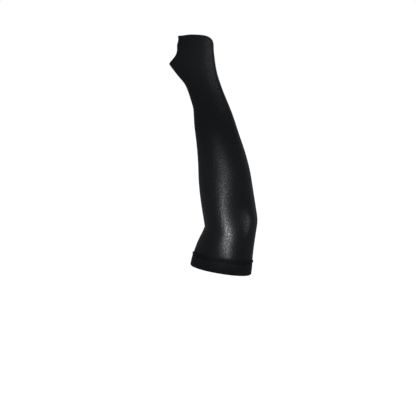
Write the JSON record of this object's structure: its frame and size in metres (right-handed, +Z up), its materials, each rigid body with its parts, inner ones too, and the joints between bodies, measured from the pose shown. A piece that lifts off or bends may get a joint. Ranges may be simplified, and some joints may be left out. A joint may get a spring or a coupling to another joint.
{
  "type": "cooling arm sleeve",
  "caption": "Hollow stretch-knit arm sleeve in its worn shape, bent at the elbow and open at hand and upper arm, with a thumb hole and a doubled hem that grips the arm.",
  "frame": {"origin": "centre of the upper-arm opening, level with the middle of the hem's lower edge", "axes": "+Z up the raised arm towards the knuckles, -X towards the thumb, -Y towards the back of the hand"},
  "size_m": [0.1592, 0.0872, 0.4302],
  "materials": {
    "stretch_knit": "fine smooth stretch knit with a soft sheen",
    "doubled_knit": "doubled knit, smoother and duller than the tube",
    "seam_thread": "matte sewing thread"
  },
  "bodies": {
    "root": {"sleeve_tube": "stretch_knit", "hem_seam": "seam_thread", "upper_arm_hem": "doubled_knit"}
  },
  "joints": []
}
